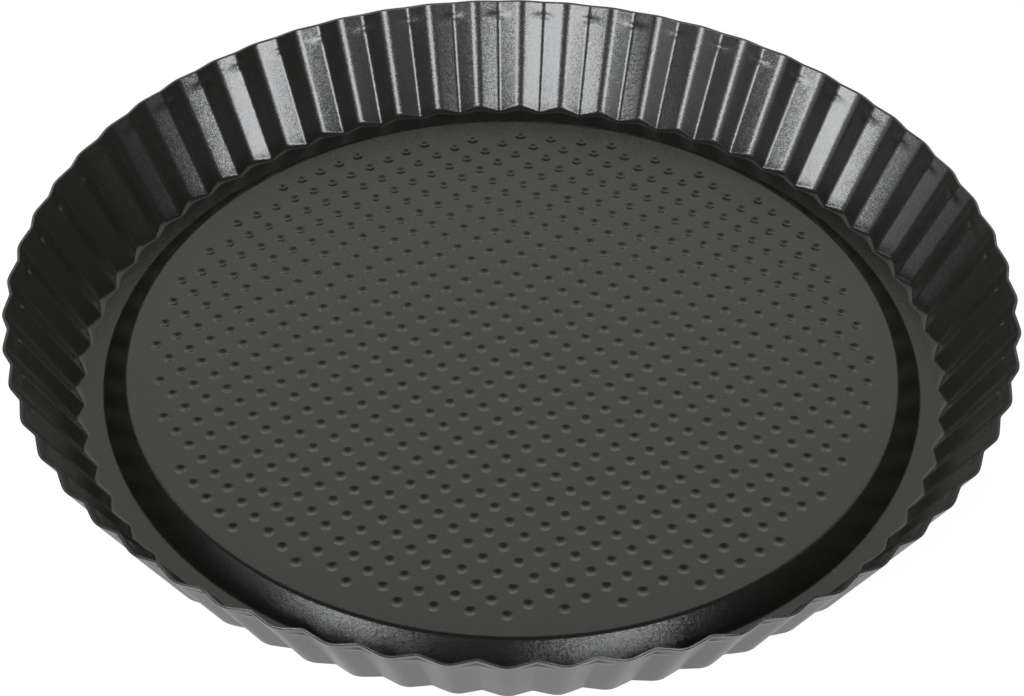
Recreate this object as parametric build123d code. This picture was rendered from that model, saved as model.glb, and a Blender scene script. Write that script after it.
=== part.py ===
from build123d import *
from math import cos, floor, hypot, radians, sin, tan
import os

# Tart pan: one pressed sheet of steel with a fluted wall, a ring trough, a raised centre full of
# small dents, and a baked coating on each face. Millimetres, +Z up, origin under the centre of the
# base, +X through the outside tip of a flute. The coatings are the two outer layers of one sheet.

# --- driving dimensions -------------------------------------------------------------------------
RIM_DIAMETER = 280.9        # over the flute tips at the rim, before they are rounded
HEIGHT = 31.2               # underside of the base to the highest point of the rim
RIM_DROP = 1.4              # how much lower the rim is at the flute tips than at the ridges
WALL_FLARE = 29.0           # lean of the wall from upright, in degrees

FLUTE_COUNT = 60
FLUTE_DEPTH = 2.4           # tip to ridge, before the corners are rounded
TIP_RADIUS = 6.0            # rounding of the flute tips, on the outside face
RIDGE_RADIUS = 1.0          # rounding of the ridges between them, on the outside face
BASE_CORNER = 3.0           # height of the bevelled corner between the base and the wall

TROUGH_WIDTH = 5.9          # foot of the step to the foot of the ridges, on the inside face
STEP_HEIGHT = 5.6           # trough floor up to the raised centre
STEP_SLOPE = 40.0           # slope of the step, in degrees from level
SHOULDER_RADIUS = 1.5       # rounding at the top of the step, on its underside
FOOT_RADIUS = 1.5           # rounding at the foot of the step, on its upper side

DENT_PITCH = 6.73           # square lattice of dents in the raised centre
DENT_TURN = 36.6            # turn of that lattice about Z, in degrees
DENT_MARGIN = 6.2           # edge of the raised centre to the outermost dent centre
DENT_RADIUS = 1.75
DENT_DEPTH = 0.5

STEEL = 0.5                 # sheet thickness
COATING = 0.1               # each coating

# --- sizes that follow --------------------------------------------------------------------------
SHEET = STEEL + 2 * COATING
LEAN = tan(radians(WALL_FLARE))
FLUTE_ANGLE = 360.0 / FLUTE_COUNT
RIM_TIP_HEIGHT = HEIGHT - RIM_DROP
ABOVE_RIM = HEIGHT + 3.0    # the wall is made this tall, then trimmed to the rim


def tip_radius(z):
    """Radius of the flute tips on the outside face, before the corners are rounded."""
    return RIM_DIAMETER / 2 - (RIM_TIP_HEIGHT - z) * LEAN


def corner_shift(radius, other, inset):
    """How far a corner of the zigzag moves inwards when its two facets move inwards by inset."""
    half = radians(FLUTE_ANGLE / 2)
    along, across = radius - other * cos(half), other * sin(half)
    return inset * hypot(along, across) / across


def zigzag_corners(z, inset, pull):
    """The tip and ridge radius of the zigzag outline at height z.

    inset is the distance in from the outside face, level with the base, and pull moves the whole
    outline inwards, for the bevelled corner at the base.
    """
    tip = tip_radius(z)
    ridge = tip - FLUTE_DEPTH
    tip_in = tip - corner_shift(tip, ridge, inset) - pull
    ridge_in = ridge - corner_shift(ridge, tip, inset) - pull
    return tip_in, ridge_in


def polar(radius, angle, z):
    return Vector(radius * cos(radians(angle)), radius * sin(radians(angle)), z)


def rounded_corner(before, corner, after, radius):
    """The arc that rounds a corner, between the two straight runs that meet there."""
    back = (before - corner).normalized()
    ahead = (after - corner).normalized()
    half_turn = radians(180 - back.get_angle(ahead)) / 2
    start = corner + back * radius * tan(half_turn)
    end = corner + ahead * radius * tan(half_turn)
    middle_gap = radius * (1 / cos(half_turn) - 1)
    middle = corner + (back + ahead).normalized() * middle_gap
    return ThreePointArc(start, middle, end)


def zigzag_wire(z, depth, pull=0.0):
    """The closed fluted outline at height z, depth millimetres into the sheet from outside."""
    inset = depth / cos(radians(WALL_FLARE))
    tip, ridge = zigzag_corners(z, inset, pull)
    rounding = [TIP_RADIUS - inset, RIDGE_RADIUS + inset]
    corners = [polar(tip if i % 2 == 0 else ridge, i * FLUTE_ANGLE / 2, z) for i in range(2 * FLUTE_COUNT)]
    last = len(corners)
    arcs = [rounded_corner(corners[i - 1], corners[i], corners[(i + 1) % last], rounding[i % 2])
            for i in range(last)]
    runs = [Line(arcs[i] @ 1, arcs[(i + 1) % last] @ 0) for i in range(last)]
    return Wire([edge for pair in zip(arcs, runs) for edge in pair])


def cup(depth, top):
    """Everything inside the wall's face at this depth into the sheet, from its floor up to top."""
    corner = BASE_CORNER * (1 - LEAN)
    sections = [zigzag_wire(depth, depth, corner), zigzag_wire(depth + BASE_CORNER, depth), zigzag_wire(top, depth)]
    return Solid.make_loft(sections, ruled=True)


def join_radius():
    """Radius in the middle of the trough, where the pressed wall and the pressed centre join."""
    return foot_radius() + TROUGH_WIDTH / 2


def foot_radius():
    """Radius of the foot of the step, before it is rounded."""
    ridge = zigzag_corners(SHEET, SHEET / cos(radians(WALL_FLARE)), 0.0)[1]
    return ridge - TROUGH_WIDTH


def shoulder_radius():
    """Radius of the edge of the raised centre, before it is rounded."""
    return foot_radius() - STEP_HEIGHT / tan(radians(STEP_SLOPE))


def below_rim():
    """The space under the rim's cut edge: a cone, high at the ridges and low at the tips."""
    tip = tip_radius(RIM_TIP_HEIGHT)
    fall = RIM_DROP / FLUTE_DEPTH
    apex = RIM_TIP_HEIGHT + fall * tip
    reach = RIM_DIAMETER
    outline = Polyline((0, -1), (reach, -1), (reach, apex - fall * reach), (0, apex), (0, -1))
    return revolve(Plane.XZ * make_face(outline), Axis.Z)


def wall_layer(low, high):
    """The fluted wall and the outer half of the trough floor, between two depths in the sheet."""
    layer = cup(low, ABOVE_RIM) - cup(high, ABOVE_RIM + 1.0)
    layer -= Cylinder(join_radius(), 2 * HEIGHT)
    return layer & below_rim()


def centre_line(depth):
    """The section of the raised centre and the step, from the axis to the middle of the trough."""
    drift = depth * tan(radians(STEP_SLOPE / 2))
    points = [(0, STEP_HEIGHT + depth), (shoulder_radius() + drift, STEP_HEIGHT + depth),
              (foot_radius() + drift, depth), (join_radius(), depth)]
    return FilletPolyline(*points, radius=[SHOULDER_RADIUS + depth, FOOT_RADIUS + SHEET - depth])


def dent_places():
    """Lattice points inside the field of dents, turned about Z."""
    reach = shoulder_radius() - DENT_MARGIN
    count = floor(reach / DENT_PITCH)
    steps = range(-count, count + 1)
    inside = [(i, j) for i in steps for j in steps if hypot(i, j) * DENT_PITCH <= reach]
    return [Rot(0, 0, DENT_TURN) * Pos(i * DENT_PITCH, j * DENT_PITCH, 0) for i, j in inside]


def dent_caps(depth, lift):
    """The bowl of every dent at this depth in the sheet, closed lift millimetres above its brim."""
    ball = (DENT_RADIUS ** 2 + DENT_DEPTH ** 2) / (2 * DENT_DEPTH)
    centre = STEP_HEIGHT + SHEET - DENT_DEPTH + ball
    radius = ball + SHEET - depth
    brim = STEP_HEIGHT + depth + lift
    width = (radius ** 2 - (centre - brim) ** 2) ** 0.5
    lowest = centre - radius
    half = ((radius + centre - brim) / (2 * radius)) ** 0.5
    middle = (radius * (1 - half ** 2) ** 0.5, centre - radius * half)
    bowl = ThreePointArc((0, lowest), middle, (width, brim))
    lid = Polyline((width, brim), (0, brim), (0, lowest))
    cap = revolve(Plane.XZ * make_face([bowl, lid]), Axis.Z)
    return [place * cap for place in dent_places()]


def centre_layer(low, high):
    """The dented centre, the step and the inner half of the trough floor, between two depths."""
    under, over = centre_line(low), centre_line(high)
    ends = [Line(under @ 0, over @ 0), Line(under @ 1, over @ 1)]
    plate = revolve(Plane.XZ * make_face([under, over] + ends), Axis.Z)
    lap = (high - low) / 2
    return plate + dent_caps(low, lap) - dent_caps(high, lap)


def sheet_layer(low, high):
    """One layer of the sheet, from the centre to the rim."""
    return wall_layer(low, high) + centre_layer(low, high)


def main():
    layers = {
        "outside_coating": (0.0, COATING),
        "steel_pressing": (COATING, COATING + STEEL),
        "inside_coating": (COATING + STEEL, SHEET),
    }
    os.makedirs("parts", exist_ok=True)
    for name, (low, high) in layers.items():
        layer = sheet_layer(low, high)
        print(name, len(layer.solids()), "solid,", len(layer.faces()), "faces,", round(layer.volume), "mm3")
        export_step(layer, f"parts/{name}.step")


main()
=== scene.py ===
import math

import bpy
import numpy as np
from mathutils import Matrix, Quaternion, Vector
from mathutils.geometry import delaunay_2d_cdt


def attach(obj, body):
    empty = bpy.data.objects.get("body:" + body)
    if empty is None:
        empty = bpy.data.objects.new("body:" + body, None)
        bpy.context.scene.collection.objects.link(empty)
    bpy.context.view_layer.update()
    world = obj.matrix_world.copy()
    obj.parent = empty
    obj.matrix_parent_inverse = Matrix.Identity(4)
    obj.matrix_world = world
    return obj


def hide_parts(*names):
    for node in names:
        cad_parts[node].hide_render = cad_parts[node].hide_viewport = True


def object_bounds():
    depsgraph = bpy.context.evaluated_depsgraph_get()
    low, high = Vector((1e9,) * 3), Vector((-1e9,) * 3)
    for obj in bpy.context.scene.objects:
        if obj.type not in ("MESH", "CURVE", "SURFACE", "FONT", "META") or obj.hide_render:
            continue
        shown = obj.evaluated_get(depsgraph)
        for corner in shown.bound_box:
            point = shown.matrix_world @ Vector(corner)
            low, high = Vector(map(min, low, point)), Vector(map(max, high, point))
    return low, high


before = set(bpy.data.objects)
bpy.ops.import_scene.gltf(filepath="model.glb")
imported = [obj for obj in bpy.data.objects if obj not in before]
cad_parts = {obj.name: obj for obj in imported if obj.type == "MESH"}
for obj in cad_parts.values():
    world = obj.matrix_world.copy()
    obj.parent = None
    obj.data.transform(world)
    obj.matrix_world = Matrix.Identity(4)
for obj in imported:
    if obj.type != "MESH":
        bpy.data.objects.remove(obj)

# A pressed and coated tart pan. Metres, +Z up, +X through the outside tip of a flute. The sheet is
# three layers, each between two depths measured in from the pan's outside face.

CAD_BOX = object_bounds()
MM = 0.001

# --- sizes of the pan ---------------------------------------------------------------------------
BASE = CAD_BOX[0].z
HEIGHT = CAD_BOX[1].z - BASE
TIP_CUT = 0.15 * MM              # how far the rounding of a flute tip falls short of its corner
RIM_RADIUS = CAD_BOX[1].x + TIP_CUT
RIM_DROP = 1.2 * MM              # the rim is this much lower at the tips than at the ridges
WALL_FLARE = math.radians(29.4)
FLUTES = 60
FLUTE_DEPTH = 2.4 * MM
TIP_RADIUS = 6.0 * MM
RIDGE_RADIUS = 1.4 * MM
TIP_CORNER = 3.8 * MM            # rounding between base and wall under a tip, on the outside face
RIDGE_CORNER = 2.0 * MM          # the same under a ridge
TROUGH_WIDTH = 5.5 * MM
STEP_HEIGHT = 5.6 * MM
STEP_SLOPE = math.radians(40.0)
SHOULDER_RADIUS = 1.5 * MM
FOOT_RADIUS = 1.5 * MM
DENT_PITCH = 6.73 * MM
DENT_TURN = math.radians(36.6)
DENT_MARGIN = 6.2 * MM
DENT_RADIUS = 2.0 * MM
DENT_DEPTH = 0.45 * MM
COATING = 0.1 * MM
SHEET = 0.7 * MM
COLLAR_HEIGHT = 4.4 * MM         # band below the rim where the ridges are pressed back
COLLAR_DEPTH = 0.1 * MM
COLLAR_POWER = 3                 # how fast the collar fades from the ridges to the tips
PINCH_DEPTH = 0.36 * MM          # small mark on each ridge where the collar begins
PINCH_WIDTH = 2.6 * MM
PINCH_TALL = 1.1 * MM
RIM_CROWN = 0.15 * MM            # height of the rounding on the cut edge
RIM_WRAP = 0.62                  # share of the steel's edge that the coatings lap over
RIM_LAP = 0.45 * MM              # height of the coatings' lap over the edge
LAP_START = 1.4                  # where the steel's faces begin to draw together, in laps
DENT_SPREAD = 0.35               # how much wider a dent is, for each unit of depth into the sheet
MIDDLE_OF_WALL = 0.93            # radius halfway up the wall, as a share of the rim's radius

# --- how finely the surface is divided ----------------------------------------------------------
FLUTE = 2 * math.pi / FLUTES
FACET_STEPS = np.array([0.0, 0.06, 0.12, 0.2, 0.34, 0.6, 0.76, 0.88])
COLUMNS_PER_RING_STEP = 4        # wall columns to one column of the step
RING_COLUMNS = FLUTES * 2 * len(FACET_STEPS) // COLUMNS_PER_RING_STEP
ARC_STEPS = 6
CROWN_STEPS = 3
LOWER_ROWS = np.array([0.1, 0.3, 0.55])          # rows of the wall, as shares of its height
COLLAR_ROWS = np.array([3.2, 2.0, 1.4, 0.9, 0.4, 0.0, -0.4, -0.9, -1.4, -2.0, -2.6])   # in PINCH_TALLs
TOP_ROW = 0.8 * MM               # distance below the rim of the row under the lap
MARGIN_RING = 3.2 * MM           # from the outermost dent's centre to the ring in the margin
SAME_POINT = 1e-9                # points closer than this are taken as one
SLIVER_AREA = 1e-14              # triangles smaller than this are dropped
DENT_SPOKES = 10
DENT_RINGS = (0.25, 0.5, 0.75, 1.04)

# --- viewpoint and light ------------------------------------------------------------------------
CAMERA_AZIMUTH = -2.256
CAMERA_ELEVATION = 42.765
CAMERA_ROLL = 2.5125
CAMERA_DISTANCE = 0.75058
CAMERA_AIM = Vector((0.02443, -0.01859, 0.0063))
CAMERA_LENS = 94.78
CAMERA_SHIFT = (-0.0871, 0.0493)

LEAN = math.tan(WALL_FLARE)
HALF_FLUTE = MIDDLE_OF_WALL * RIM_RADIUS * FLUTE / 2      # half a flute's width, halfway up the wall


def smooth_step(x):
    """0 below 0, 1 above 1, and 3x^2 - 2x^3 between."""
    x = np.clip(x, 0, 1)
    return x * x * (3 - 2 * x)


def zigzag(theta, depth):
    """Share of the way from ridge (0) to tip (1) at each angle, for a sharp and a rounded zigzag.

    The rounded one is straight, with parabolas at its ends. A ridge gets rounder and a tip gets
    sharper with depth into the sheet, as the two faces stay parallel.
    """
    inset = depth / math.cos(WALL_FLARE)
    sway = math.sin(math.atan2(FLUTE_DEPTH, HALF_FLUTE))
    ridge = (RIDGE_RADIUS + inset) * sway / HALF_FLUTE
    tip = (TIP_RADIUS - inset) * sway / HALF_FLUTE
    u = 1 - 2 * np.abs(np.mod(theta / FLUTE + 0.5, 1.0) - 0.5)
    near_ridge = u * u / (2 * ridge) + ridge / 2
    near_tip = 1 - ((1 - u) ** 2 / (2 * tip) + tip / 2)
    return u, np.where(u < ridge, near_ridge, np.where(u > 1 - tip, near_tip, u))


def wall_point(theta, v, depth):
    """Point of the wall at angle theta. v runs 0 to 1 round the base corner and 1 to 2 up the wall.

    In the plane through the axis the wall is a straight line from the base to the rim, whose
    radius follows the zigzag, joined to the level floor by an arc that is wider under the tips.
    The rim is where that line meets a cone that falls outwards. In the collar below the rim the
    ridges are pressed back, with a pinch mark where that begins, and close to the cut edge the
    steel's two faces draw together so that the coatings lap over it.
    """
    u, share = zigzag(theta, depth)
    start = RIM_RADIUS - (HEIGHT - RIM_DROP) * LEAN - FLUTE_DEPTH * (1 - share)
    fall = RIM_DROP / FLUTE_DEPTH
    cone = HEIGHT - RIM_DROP + fall * RIM_RADIUS
    top = (cone - fall * start) / (1 + fall * LEAN)
    up = np.clip(v - 1, 0, 1)
    below_rim = (1 - up) * (top - depth) / math.cos(WALL_FLARE)
    if 0 < depth < SHEET:
        depth = depth + (SHEET / 2 - depth) * RIM_WRAP * smooth_step(LAP_START - below_rim / RIM_LAP)
    start = start - depth / math.cos(WALL_FLARE) * math.hypot(HALF_FLUTE, FLUTE_DEPTH) / HALF_FLUTE
    turn = math.pi / 2 - WALL_FLARE
    rounding = RIDGE_CORNER + (TIP_CORNER - RIDGE_CORNER) * share - depth
    around = turn * np.clip(v, 0, 1)
    radius = start + LEAN * depth - rounding * math.tan(turn / 2) + rounding * np.sin(around)
    z = depth + rounding * (1 - np.cos(around))
    rise = (top - z) * up
    across = u * HALF_FLUTE
    in_collar = smooth_step((COLLAR_HEIGHT - below_rim) / PINCH_TALL / 2 + 0.5)
    collar = COLLAR_DEPTH * (1 - share) ** COLLAR_POWER * in_collar
    high = (below_rim - COLLAR_HEIGHT) / PINCH_TALL
    pinch = PINCH_DEPTH * np.exp(-high ** 2 - (across / PINCH_WIDTH) ** 2)
    radius = radius + LEAN * rise + (collar + pinch) * smooth_step(up * 4)
    return np.stack([radius * np.cos(theta), radius * np.sin(theta), BASE + z + rise], -1)


def wall_grid(depth):
    """The wall at every column and row, and the direction square to it on the filling's side."""
    facet = np.concatenate([FACET_STEPS, 2 - np.append(1.0, FACET_STEPS[:0:-1])])
    theta = (np.arange(FLUTES)[:, None] + facet[None] / 2 - 0.5).ravel() * FLUTE
    wall = (HEIGHT - RIM_DROP) / math.cos(WALL_FLARE)
    near_collar = COLLAR_HEIGHT + PINCH_TALL * COLLAR_ROWS
    upper = 1 - np.append(near_collar, [TOP_ROW, RIM_LAP, RIM_CROWN]) / wall
    rows = np.concatenate([np.linspace(0, 1, ARC_STEPS), 1 + LOWER_ROWS, 1 + upper])
    theta, rows = np.meshgrid(theta, rows)
    tiny = 1e-4
    along = wall_point(theta + tiny, rows, depth) - wall_point(theta - tiny, rows, depth)
    upwards = wall_point(theta, rows + tiny, depth) - wall_point(theta, rows - tiny, depth)
    normal = np.cross(upwards, along)
    normal /= np.linalg.norm(normal, axis=-1, keepdims=True)
    return wall_point(theta, rows, depth), normal


def foot_radius():
    """Foot of the step before rounding: a trough's width in from the ridges of the inside face."""
    inset = SHEET / math.cos(WALL_FLARE) * math.hypot(HALF_FLUTE, FLUTE_DEPTH) / HALF_FLUTE
    return RIM_RADIUS - (HEIGHT - RIM_DROP - SHEET) * LEAN - FLUTE_DEPTH - inset - TROUGH_WIDTH


def shoulder_radius():
    """Edge of the raised centre before rounding: a slope's length in from the foot of the step."""
    return foot_radius() - STEP_HEIGHT / math.tan(STEP_SLOPE)


def step_grid(depth):
    """The step, shoulder and foot included: two arcs joined by a straight slope, spun round Z."""
    drift = depth * math.tan(STEP_SLOPE / 2)
    turn = np.linspace(0, STEP_SLOPE, ARC_STEPS)
    shoulder, foot = SHOULDER_RADIUS + depth, FOOT_RADIUS + SHEET - depth
    above = shoulder_radius() + drift - shoulder * math.tan(STEP_SLOPE / 2)
    below = foot_radius() + drift + foot * math.tan(STEP_SLOPE / 2)
    radius = np.concatenate([above + shoulder * np.sin(turn), below - foot * np.sin(turn[::-1])])
    top = STEP_HEIGHT + depth - shoulder * (1 - np.cos(turn))
    z = np.concatenate([top, depth + foot * (1 - np.cos(turn[::-1]))])
    tilt = np.concatenate([turn, turn[::-1]])
    theta = np.arange(RING_COLUMNS) * 2 * math.pi / RING_COLUMNS - FLUTE / 2
    round_z = np.stack([np.cos(theta), np.sin(theta)], -1)

    def spin(r, height):
        """Each radius and height of the section, carried round Z."""
        flat = r[:, None, None] * round_z[None]
        return np.concatenate([flat, np.broadcast_to(height[:, None, None], flat.shape[:2] + (1,))], -1)

    return spin(radius, BASE + z), spin(np.sin(tilt), np.cos(tilt))


def dent_centres():
    """The points of a square lattice, turned about Z, that lie within the field of dents."""
    reach = shoulder_radius() - DENT_MARGIN
    count = int(reach / DENT_PITCH)
    steps = np.arange(-count, count + 1) * DENT_PITCH
    x, y = (a.ravel() for a in np.meshgrid(steps, steps))
    inside = np.hypot(x, y) <= reach
    spot = (x + 1j * y)[inside] * np.exp(1j * DENT_TURN)
    return np.stack([spot.real, spot.imag], -1)


def plateau_outline():
    """Flat points of the raised centre: its edge, a ring in its margin and the gaps between dents."""
    centres = dent_centres()
    edge = step_grid(SHEET)[0][0, :, :2]
    margin = edge * (np.hypot(*centres.T).max() + MARGIN_RING) / np.hypot(*edge[0])
    half = DENT_PITCH / math.sqrt(2) * np.exp(1j * (DENT_TURN + math.pi / 4))
    gaps = centres + np.array([half.real, half.imag])
    return centres, margin, gaps


def dent_points():
    """Every dent's centre and rings, as flat points. Each ring is turned half a spoke on the last."""
    rings = [np.zeros((1, 2))]
    for i, share in enumerate(DENT_RINGS):
        angle = (np.arange(DENT_SPOKES) + 0.5 * (i % 2)) * 2 * math.pi / DENT_SPOKES
        rings.append(share * DENT_RADIUS * np.stack([np.cos(angle), np.sin(angle)], -1))
    spots = dent_centres()[:, None] + np.concatenate(rings)[None]
    return spots.reshape(-1, 2)


def dent_shape(flat, depth):
    """Depth and slope of the dents at flat points.

    A dent is a bowl of depth (1 - q^2)^2, q being the distance from its centre over its radius.
    On the underside it is a little wider, because the sheet keeps its thickness.
    """
    width = DENT_RADIUS + DENT_SPREAD * (SHEET - depth)
    spot = (flat[:, 0] + 1j * flat[:, 1]) * np.exp(-1j * DENT_TURN)
    near = np.round(spot.real / DENT_PITCH) + 1j * np.round(spot.imag / DENT_PITCH)
    inside = np.abs(near) * DENT_PITCH <= shoulder_radius() - DENT_MARGIN
    away = spot - near * DENT_PITCH
    bowl = np.clip(1 - (np.abs(away) / width) ** 2, 0, 1) * inside
    drop = DENT_DEPTH * bowl ** 2
    tilt = 4 * DENT_DEPTH * bowl / width ** 2 * away * np.exp(1j * DENT_TURN)
    normal = np.stack([-tilt.real, -tilt.imag, np.ones(len(flat))], -1)
    return drop, normal / np.linalg.norm(normal, axis=-1, keepdims=True)


def plateau_triangles(flat):
    """Delaunay triangles over flat points, all turned to face up."""
    triangles = delaunay_2d_cdt([Vector(p) for p in flat], [], [], 0, SAME_POINT)[2]
    tri = np.array(triangles, dtype=np.int64)
    a, b, c = (flat[tri[:, i]] for i in range(3))
    area = (b[:, 0] - a[:, 0]) * (c[:, 1] - a[:, 1]) - (b[:, 1] - a[:, 1]) * (c[:, 0] - a[:, 0])
    tri[area < 0] = tri[area < 0][:, ::-1]
    return tri[np.abs(area) > SLIVER_AREA]


def band(first, second):
    """Quads between two closed rings of vertex numbers, facing up where the second is outside."""
    return np.stack([first, second, np.roll(second, -1), np.roll(first, -1)], -1)


def sheet_topology():
    """Faces of one surface of the sheet, shared by every depth, and the vertex numbers of its rim."""
    step_rows = 2 * ARC_STEPS
    wall_rows, wall_columns = wall_grid(SHEET)[0].shape[:2]
    step = np.arange(step_rows * RING_COLUMNS).reshape(step_rows, RING_COLUMNS)
    wall = np.arange(wall_rows * wall_columns).reshape(wall_rows, wall_columns) + step.size
    first_flat = step.size + wall.size
    centres, margin, gaps = plateau_outline()
    flat = np.concatenate([step_grid(SHEET)[0][0, :, :2], margin, gaps, dent_points()])
    numbers = np.concatenate([step[0], first_flat + np.arange(len(flat) - RING_COLUMNS)])
    faces = [numbers[plateau_triangles(flat)]]
    faces += [band(step[i], step[i + 1]) for i in range(step_rows - 1)]
    fan = [np.roll(wall[0], -i)[::COLUMNS_PER_RING_STEP] for i in range(COLUMNS_PER_RING_STEP + 1)]
    faces.append(np.stack([step[-1]] + fan + [np.roll(step[-1], -1)], -1))
    faces += [band(wall[i], wall[i + 1]) for i in range(wall_rows - 1)]
    return flat[RING_COLUMNS:], faces, wall[-1]


FLAT, FACES, RIM = sheet_topology()


def sheet_surface(depth):
    """Vertices and upward directions of the sheet's surface at this depth."""
    step, step_up = step_grid(depth)
    wall, wall_up = wall_grid(depth)
    drop, flat_up = dent_shape(FLAT, depth)
    level = np.concatenate([FLAT, (BASE + STEP_HEIGHT + depth - drop)[:, None]], -1)
    points = [step.reshape(-1, 3), wall.reshape(-1, 3), level]
    upward = [step_up.reshape(-1, 3), wall_up.reshape(-1, 3), flat_up]
    return np.concatenate(points), np.concatenate(upward)


def build_mesh(name, points, faces, normals):
    """A mesh object from whole arrays: points, groups of faces, and one normal for each corner."""
    mesh = bpy.data.meshes.new(name)
    corners = np.concatenate([f.ravel() for f in faces])
    sizes = np.concatenate([np.full(len(f), f.shape[1]) for f in faces])
    mesh.vertices.add(len(points))
    mesh.vertices.foreach_set("co", points.astype(np.float32).ravel())
    mesh.loops.add(len(corners))
    mesh.loops.foreach_set("vertex_index", corners.astype(np.int32))
    mesh.polygons.add(len(sizes))
    mesh.polygons.foreach_set("loop_start", (np.cumsum(sizes) - sizes).astype(np.int32))
    mesh.update(calc_edges=True)
    mesh.polygons.foreach_set("use_smooth", np.ones(len(sizes), dtype=bool))
    mesh.normals_split_custom_set(normals.astype(np.float32))
    piece = bpy.data.objects.new(name, mesh)
    bpy.context.scene.collection.objects.link(piece)
    return piece


def rim_crown(over, under):
    """Rings of points over the cut edge, from the outside face to the inside face, with normals.

    The edge is half an ellipse, as thick as the layer and RIM_CROWN high, that points up the wall.
    """
    half_turn = np.linspace(0, math.pi, CROWN_STEPS + 1)[:, None, None]
    across = over[RIM] - under[RIM]
    inwards = across / np.linalg.norm(across, axis=-1, keepdims=True)
    up = over[RIM] - over[RIM - len(RIM)]
    up /= np.linalg.norm(up, axis=-1, keepdims=True)
    middle = (over[RIM] + under[RIM]) / 2
    points = middle - across / 2 * np.cos(half_turn) + up * RIM_CROWN * np.sin(half_turn)
    normals = up * np.sin(half_turn) - inwards * np.cos(half_turn)
    return points, normals


def sheet_layer(name, low, high):
    """A closed layer of the sheet: the surface at depth high, the one at depth low turned over,
    and a rounded edge along the rim that joins them."""
    over, over_up = sheet_surface(high)
    under, under_up = sheet_surface(low)
    count = len(over)
    crown_points, crown_up = rim_crown(over, under)
    own = np.arange((CROWN_STEPS + 1) * len(RIM)).reshape(-1, len(RIM))
    rings = np.concatenate([[RIM + count], 2 * count + own[:-2], [RIM]])
    points = np.concatenate([over, under, crown_points[1:-1].reshape(-1, 3)])
    upward = np.concatenate([over_up, -under_up])
    faces = FACES + [f[:, ::-1] + count for f in FACES]
    normals = [upward[f.ravel()] for f in faces]
    for i in range(CROWN_STEPS):
        faces.append(band(rings[i + 1], rings[i]))
        normals.append(crown_up.reshape(-1, 3)[band(own[i + 1], own[i]).ravel()])
    return build_mesh(name, points, faces, np.concatenate(normals))


# --- materials ----------------------------------------------------------------------------------
class Socket:
    """One output of a shader node, which takes part in arithmetic by adding Math nodes."""

    def __init__(self, nodes, output):
        self.nodes, self.output = nodes, output

    def math(self, operation, *values):
        """A Math node over these values."""
        return self.nodes.add("ShaderNodeMath", {"operation": operation}, list(values))

    def __add__(self, other):
        return self.math("ADD", self, other)

    def __sub__(self, other):
        return self.math("SUBTRACT", self, other)

    def __rsub__(self, other):
        return self.math("SUBTRACT", other, self)

    def __mul__(self, other):
        return self.math("MULTIPLY", self, other)

    __radd__ = __add__
    __rmul__ = __mul__

    def between(self, low, high):
        """0 where this is under low, 1 where it is over high, and smooth between."""
        return self.nodes.add("ShaderNodeMapRange", {"interpolation_type": "SMOOTHSTEP"},
                              {"Value": self, "From Min": low, "From Max": high})


class Finish:
    """A material and the nodes in it."""

    def __init__(self, name):
        self.material = bpy.data.materials.new(name)
        self.material.use_nodes = True
        self.tree = self.material.node_tree
        self.tree.nodes.clear()

    def add(self, kind, settings=None, inputs=None, output=0):
        """Adds a node: its settings first, then its inputs, by name or in order."""
        node = self.tree.nodes.new(kind)
        for key, value in (settings or {}).items():
            setattr(node, key, value)
        named = inputs.items() if isinstance(inputs, dict) else enumerate(inputs or [])
        for key, value in named:
            if isinstance(value, Socket):
                self.tree.links.new(value.output, node.inputs[key])
            else:
                node.inputs[key].default_value = value
        return Socket(self, node.outputs[output]) if node.outputs else None

    def blend(self, share, first, second):
        """A colour between two colours."""
        return self.add("ShaderNodeMix", {"data_type": "RGBA"}, {0: share, 6: first, 7: second}, 2)

    def noise(self, scale, detail=2.0, roughness=0.5):
        """Noise over the piece, in cycles to the metre."""
        place = self.add("ShaderNodeTexCoord", output=3)
        return self.add("ShaderNodeTexNoise", {}, {"Vector": place, "Scale": scale, "Detail": detail,
                                                   "Roughness": roughness})

    def facets(self, scale, tilt):
        """The surface's direction, tipped a little at random in each of many small cells."""
        place = self.add("ShaderNodeTexCoord", output=3)
        cell = self.add("ShaderNodeTexVoronoi", {}, {"Vector": place, "Scale": scale}, 1)
        push = self.add("ShaderNodeVectorMath", {"operation": "MULTIPLY_ADD"},
                        [cell, (tilt, tilt, tilt), (-tilt / 2, -tilt / 2, -tilt / 2)])
        square = self.add("ShaderNodeNewGeometry", output=1)
        tipped = self.add("ShaderNodeVectorMath", {"operation": "ADD"}, [square, push])
        return self.add("ShaderNodeVectorMath", {"operation": "NORMALIZE"}, [tipped])

    def principled(self, **inputs):
        """Ends the material with one Principled shader. An input's name has _ for each space."""
        named = {key.replace("_", " "): value for key, value in inputs.items()}
        shader = self.add("ShaderNodeBsdfPrincipled", {}, named)
        self.add("ShaderNodeOutputMaterial", {}, {"Surface": shader})
        return self.material


def baked_coating(name, dark, light, gloss, sparkle, mirror):
    """Satin baked coating: near-black, with a fine pebbled skin that sparkles in the lights."""
    finish = Finish(name)
    cloud = finish.noise(45.0, 3.0)
    pebble = finish.noise(2600.0, 2.0, 0.6)
    return finish.principled(
        Base_Color=finish.blend(pebble, dark, light),
        Roughness=gloss + (cloud - 0.5) * 0.06 + (pebble - 0.5) * 0.1,
        Specular_IOR_Level=mirror,
        Normal=finish.facets(4200.0, sparkle),
    )


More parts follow.
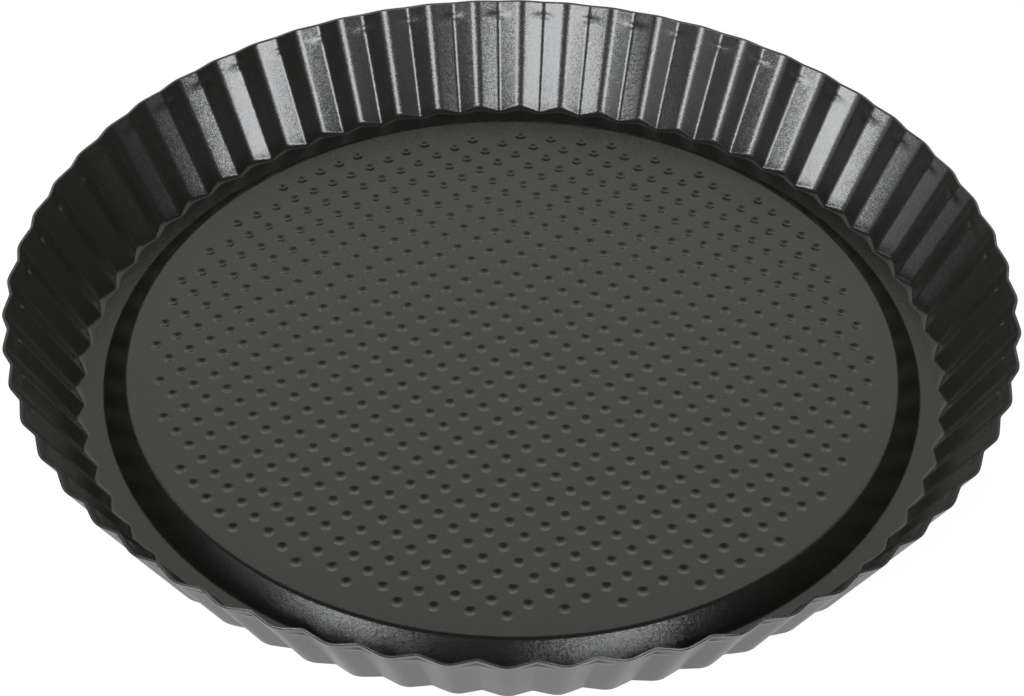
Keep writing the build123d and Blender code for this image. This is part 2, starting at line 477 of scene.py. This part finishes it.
def bare_steel(name):
    """Cut edge of cold-rolled sheet: bright, with fine shear lines and a little staining."""
    finish = Finish(name)
    shear = finish.noise(3000.0, 3.0, 0.7)
    stain = finish.noise(220.0, 3.0).between(0.45, 0.7)
    bump = finish.add("ShaderNodeBump", {}, {"Strength": 0.3, "Distance": 0.00004, "Height": shear})
    return finish.principled(
        Base_Color=finish.blend(stain * 0.5, (0.20, 0.20, 0.19, 1), (0.10, 0.10, 0.09, 1)),
        Metallic=1.0,
        Roughness=0.26 + shear * 0.2,
        Normal=bump,
    )


# --- pieces -------------------------------------------------------------------------------------
def make_pan():
    """The three layers of the sheet, each in place of its CAD solid."""
    dark = (0.003, 0.003, 0.003, 1)
    middle = (0.006, 0.006, 0.0054, 1)
    light = (0.014, 0.0137, 0.0124, 1)
    outside = baked_coating("outside_satin", dark, middle, 0.32, 0.04, 0.22)
    inside = baked_coating("inside_non_stick", middle, light, 0.26, 0.1, 0.5)
    steel = bare_steel("cut_steel")
    layers = (
        ("outside_skin", "outside_coating", "outside_coating", 0.0, COATING, outside),
        ("steel_sheet", "steel_pressing", "bare_steel", COATING, SHEET - COATING, steel),
        ("inside_skin", "inside_coating", "inside_coating", SHEET - COATING, SHEET, inside),
    )
    for name, node, slot, low, high, material in layers:
        piece = sheet_layer(name, low, high)
        piece.data.materials.append(material)
        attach(piece, "root")
        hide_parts(node)


def make_floor():
    """A level pale floor, large enough to fill every view."""
    side = 12.0
    corners = np.array([(-side, -side), (side, -side), (side, side), (-side, side)])
    points = np.concatenate([corners, np.full((4, 1), CAD_BOX[0].z)], -1)
    floor = build_mesh("floor", points, [np.array([[0, 1, 2, 3]])], np.tile((0.0, 0.0, 1.0), (4, 1)))
    finish = Finish("pale_floor")
    tone = finish.noise(3.0, 2.0)
    floor.data.materials.append(finish.principled(
        Base_Color=finish.blend(tone, (0.09, 0.09, 0.09, 1), (0.10, 0.10, 0.10, 1)),
        Roughness=0.9,
        Emission_Color=(1.0, 1.0, 1.0, 1),
        Emission_Strength=0.9,
    ))


def make_light(name, azimuth, elevation, distance, size, radiance, colour):
    """A rectangular softbox that faces the pan. Radiance is how bright its face looks."""
    data = bpy.data.lights.new(name, "AREA")
    data.shape = "RECTANGLE"
    data.size, data.size_y = size
    data.energy = radiance * math.pi * size[0] * size[1]
    data.color = colour
    light = bpy.data.objects.new(name, data)
    a, e = math.radians(azimuth), math.radians(elevation)
    away = Vector((math.sin(a) * math.cos(e), -math.cos(a) * math.cos(e), math.sin(e)))
    light.location = away * distance
    light.rotation_mode = "QUATERNION"
    light.rotation_quaternion = away.to_track_quat("Z", "Y")
    light.visible_camera = False
    bpy.context.scene.collection.objects.link(light)


def make_studio():
    """Two tall softboxes beside the camera, a dim card at its side, two wide cards behind the pan,
    and a dim room."""
    cool, warm = (0.96, 0.98, 1.0), (1.0, 0.995, 0.93)
    make_light("softbox_left", -44.5, 22, 1.3, (0.46, 1.05), 17.0, cool)
    make_light("softbox_right", 28.5, 23.5, 1.3, (0.46, 1.1), 17.0, cool)
    make_light("side_card", -74, 24, 1.5, (0.7, 1.0), 1.3, cool)
    make_light("backdrop_high", 180, 45, 2.2, (4.0, 1.5), 1.0, warm)
    make_light("backdrop_low", 180, 14, 2.2, (4.0, 1.0), 1.5, warm)
    world = bpy.data.worlds.new("room")
    world.use_nodes = True
    world.node_tree.nodes["Background"].inputs["Color"].default_value = (0.03, 0.03, 0.03, 1)
    bpy.context.scene.world = world
    bpy.context.scene.view_settings.view_transform = "Standard"


def make_camera():
    """A long lens, above and in front of the pan and turned a little about its own axis."""
    data = bpy.data.cameras.new("camera")
    data.lens = CAMERA_LENS
    data.sensor_width = 36.0
    data.shift_x, data.shift_y = CAMERA_SHIFT
    data.clip_start, data.clip_end = 0.01, 100.0
    camera = bpy.data.objects.new("camera", data)
    a, e = math.radians(CAMERA_AZIMUTH), math.radians(CAMERA_ELEVATION)
    back = Vector((math.sin(a) * math.cos(e), -math.cos(a) * math.cos(e), math.sin(e)))
    camera.location = CAMERA_AIM + back * CAMERA_DISTANCE
    camera.rotation_mode = "QUATERNION"
    level = (-back).to_track_quat("-Z", "Y")
    camera.rotation_quaternion = level @ Quaternion((0, 0, 1), math.radians(CAMERA_ROLL))
    bpy.context.scene.collection.objects.link(camera)
    bpy.context.scene.camera = camera


make_camera()
make_floor()
make_studio()
make_pan()
